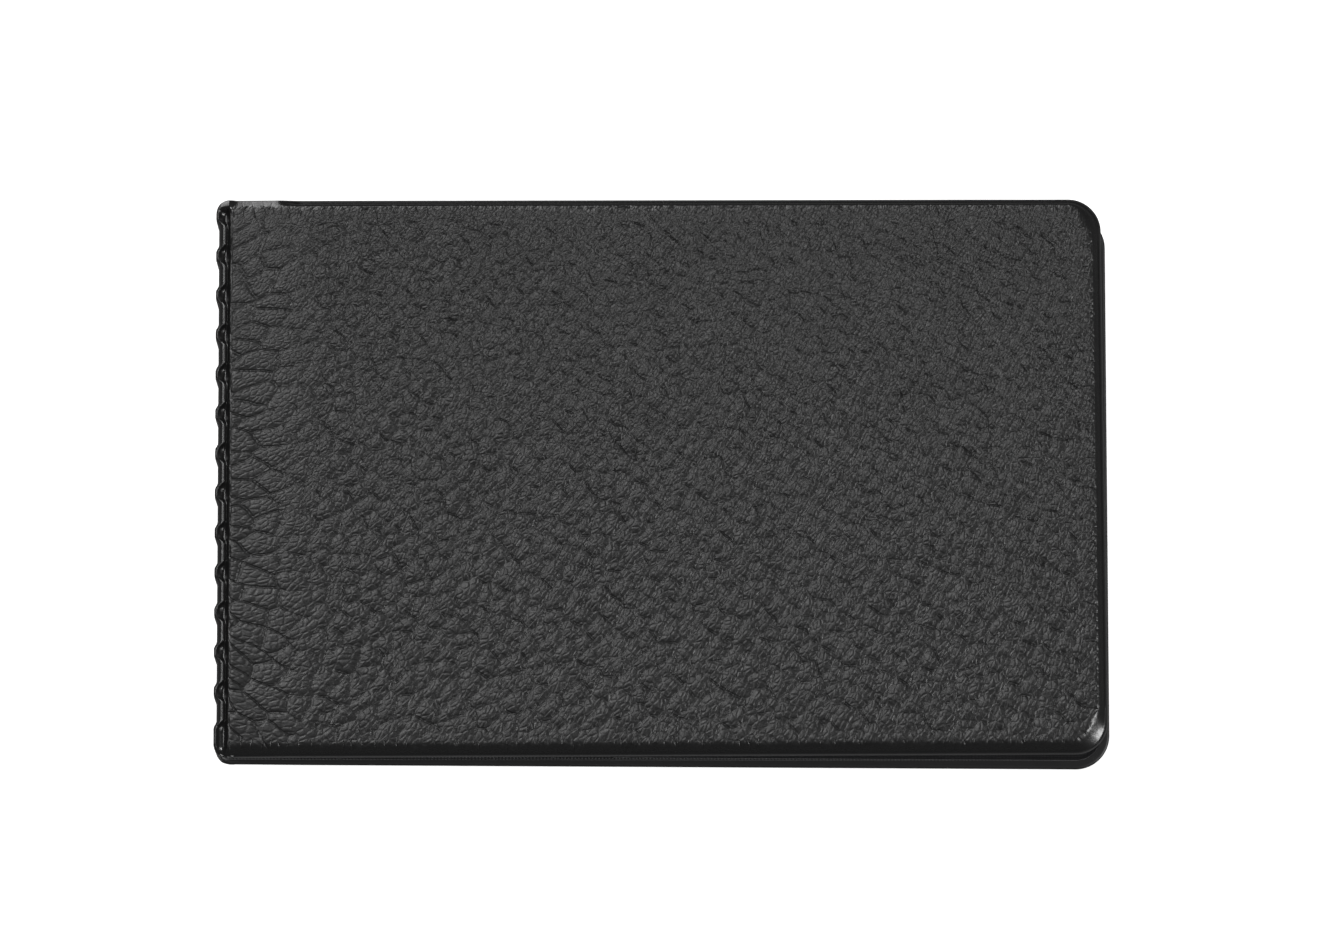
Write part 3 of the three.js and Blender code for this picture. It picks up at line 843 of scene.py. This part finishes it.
def cloth_material():
    """Black ribbed lining cloth, pressed flat and shiny along its welds."""
    material, nodes, links = new_material("lining_cloth")
    shader = nodes["Principled BSDF"]
    rest = attribute_node(nodes, "rest", "Vector")
    weld = attribute_node(nodes, "weld", "Fac")
    threads = []
    for axis, scale in (("X", 0.75), ("Y", 1.1)):
        wave = nodes.new("ShaderNodeTexWave")
        wave.bands_direction = axis
        wave.wave_profile = "SIN"
        wave.inputs["Scale"].default_value = scale
        wave.inputs["Distortion"].default_value = 0.35
        wave.inputs["Detail Scale"].default_value = 1.5
        links.new(rest, wave.inputs["Vector"])
        threads.append(wave.outputs["Fac"])
    weave = maths(nodes, links, "MULTIPLY", *threads)
    slub = texture_node(nodes, links, "ShaderNodeTexNoise", rest, Scale=0.6, Detail=4.0)
    loose = map_range(nodes, links, weld, 0.0, 1.0, 1.0, 0.25, "LINEAR")
    bumped(nodes, links, shader, maths(nodes, links, "MULTIPLY", weave, loose), 0.08 * MM)
    dark, light = (0.011, 0.011, 0.012, 1), (0.026, 0.026, 0.028, 1)
    colour = mix(nodes, links, maths(nodes, links, "MULTIPLY", weave, slub), dark, light, "RGBA")
    links.new(colour, shader.inputs["Base Color"])
    links.new(mix(nodes, links, weld, 0.62, 0.36), shader.inputs["Roughness"])
    shader.inputs["Sheen Weight"].default_value = 0.15
    return material


def vinyl_material():
    """Smooth black vinyl with a fine matt emboss and faint scuffs."""
    material, nodes, links = new_material("black_vinyl")
    shader = nodes["Principled BSDF"]
    rest = attribute_node(nodes, "rest", "Vector")
    emboss = texture_node(nodes, links, "ShaderNodeTexVoronoi", rest, **dict(CELLS, Scale=2.2))
    stretched = scaled(nodes, links, rest, (0.12, 0.3, 0.3))
    scuff = texture_node(nodes, links, "ShaderNodeTexNoise", stretched, Scale=1.0)
    bumped(nodes, links, shader, map_range(nodes, links, emboss, 0.0, 0.2, 0.0, 1.0), 0.012 * MM)
    shade = map_range(nodes, links, scuff, 0.3, 0.7, 0.0, 1.0)
    colour = mix(nodes, links, shade, (0.01, 0.01, 0.011, 1), (0.013, 0.013, 0.014, 1), "RGBA")
    links.new(colour, shader.inputs["Base Color"])
    links.new(map_range(nodes, links, scuff, 0.3, 0.7, 0.34, 0.42), shader.inputs["Roughness"])
    return material


def film_material():
    """Clear soft film: glossy, faintly milky, and denser along its welds."""
    material, nodes, links = new_material("clear_film")
    shader = nodes["Principled BSDF"]
    rest = attribute_node(nodes, "rest", "Vector")
    weld = attribute_node(nodes, "weld", "Fac")
    ripple = texture_node(nodes, links, "ShaderNodeTexNoise", rest, Scale=0.09, Detail=2.0)
    ribs = nodes.new("ShaderNodeTexWave")
    ribs.bands_direction = "DIAGONAL"
    ribs.inputs["Scale"].default_value = 0.9
    links.new(rest, ribs.inputs["Vector"])
    pressed = maths(nodes, links, "MULTIPLY", ribs.outputs["Fac"], weld)
    height = maths(nodes, links, "ADD", ripple, maths(nodes, links, "MULTIPLY", pressed, 0.1))
    bumped(nodes, links, shader, height, 0.08 * MM)
    haze = map_range(nodes, links, ripple, 0.35, 0.65, 0.1, 0.13)
    links.new(mix(nodes, links, weld, haze, 0.32), shader.inputs["Alpha"])
    links.new(mix(nodes, links, weld, 0.1, 0.22), shader.inputs["Roughness"])
    tone = mix(nodes, links, weld, (0.62, 0.65, 0.67, 1), (0.74, 0.76, 0.78, 1), "RGBA")
    links.new(tone, shader.inputs["Base Color"])
    return material


def plain_material(name, colour, roughness):
    material = new_material(name)[0]
    shader = material.node_tree.nodes["Principled BSDF"]
    shader.inputs["Base Color"].default_value = (*colour, 1)
    shader.inputs["Roughness"].default_value = roughness
    return material


# ---------------------------------------------------------------- camera, lights and floor
VIEW_WIDTH = 164.4 * MM
CAMERA_DISTANCE = 1.6
CAMERA_TILT_DOWN = math.radians(7.6)  # towards the long edge nearest the viewer
CAMERA_TILT_RIGHT = math.radians(0.4)
CAMERA_ROLL = math.radians(-0.06)
CAMERA_AIM = Vector((0.6 * MM, 1.33 * MM, 0))
FLOOR_SIZE = 6.0


def add_camera():
    data = bpy.data.cameras.new("camera")
    camera = bpy.data.objects.new("camera", data)
    bpy.context.scene.collection.objects.link(camera)
    back = Vector((math.tan(CAMERA_TILT_RIGHT), -math.tan(CAMERA_TILT_DOWN), 1)).normalized()
    up = Vector((0, 1, 0))
    up = (up - back * up.dot(back)).normalized()
    right = up.cross(back)
    rotation = Matrix((right, up, back)).transposed() @ Matrix.Rotation(-CAMERA_ROLL, 3, "Z")
    aim = CAMERA_AIM + Vector((0, 0, THICKNESS / 2))
    camera.matrix_world = Matrix.Translation(aim + back * CAMERA_DISTANCE) @ rotation.to_4x4()
    data.sensor_width = 36
    data.lens = data.sensor_width * CAMERA_DISTANCE / VIEW_WIDTH
    data.clip_end = 50
    bpy.context.scene.camera = camera


def add_light(name, position, size, power):
    data = bpy.data.lights.new(name, "AREA")
    data.shape = "RECTANGLE"
    data.size, data.size_y = size
    data.energy = power
    light = bpy.data.objects.new(name, data)
    bpy.context.scene.collection.objects.link(light)
    light.location = position
    light.rotation_mode = "QUATERNION"
    light.rotation_quaternion = Vector(position).to_track_quat("Z", "Y")


def add_studio():
    scene = bpy.context.scene
    scene.view_settings.view_transform = "Standard"
    world = bpy.data.worlds.new("studio")
    world.use_nodes = True
    world.node_tree.nodes["Background"].inputs["Color"].default_value = (1, 1, 1, 1)
    world.node_tree.nodes["Background"].inputs["Strength"].default_value = 0.12
    scene.world = world
    add_light("upper_left_softbox", (-0.5, 0.7, 1.23), (0.6, 0.6), 12)
    add_light("left_softbox", (-0.96, 0.18, 1.0), (0.25, 0.4), 3.5)
    add_light("lower_right_softbox", (1.1, -0.38, 0.77), (0.4, 0.4), 12)
    add_floor()


def add_floor():
    floor_mesh = bpy.data.meshes.new("floor")
    half = FLOOR_SIZE / 2
    corners = [(-half, -half, 0), (half, -half, 0), (half, half, 0), (-half, half, 0)]
    floor_mesh.from_pydata(corners, [], [(0, 1, 2, 3)])
    floor = bpy.data.objects.new("floor", floor_mesh)
    bpy.context.scene.collection.objects.link(floor)
    floor.location.z = -0.05 * MM
    white = plain_material("floor_white", (0.8, 0.8, 0.8), 0.9)
    glow = white.node_tree.nodes["Principled BSDF"].inputs
    glow["Emission Color"].default_value = (1, 1, 1, 1)
    glow["Emission Strength"].default_value = 0.72
    floor_mesh.materials.append(white)
    floor.visible_glossy = False


def across_fold(piece):
    """Bakes the placement of a piece that runs from the spine round the fold into its mesh."""
    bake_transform(piece)


def add_cover(cover, leather, cloth, vinyl):
    name = cover.name
    skin = leather_half(cover, leather)
    across_fold(skin)
    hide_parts(f"{name}_cover_leather", f"{name}_padding", f"{name}_board", "spine_leather")
    cloth_lining = lining(cover, cloth)
    across_fold(cloth_lining)
    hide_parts(f"{name}_lining", "spine_lining")
    side_pocket = pocket(cover, cloth)
    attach(side_pocket, name)
    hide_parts(f"{name}_pocket")
    insert_half = flap(cover, vinyl)
    across_fold(insert_half)
    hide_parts(f"insert_{name}_flap", "insert_binding_strip")


def add_sleeve(leaf, film):
    for is_front in (False, True):
        sheet = sleeve_film(leaf, is_front, film)
        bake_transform(sheet)
        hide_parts(f"sleeve_{leaf:02d}_{'front' if is_front else 'back'}_film")


add_camera()
add_studio()
materials = leather_material(), cloth_material(), vinyl_material()
for cover in (BACK, FRONT):
    add_cover(cover, *materials)
clear_film = film_material()
for leaf in range(1, LEAF_COUNT + 1):
    add_sleeve(leaf, clear_film)
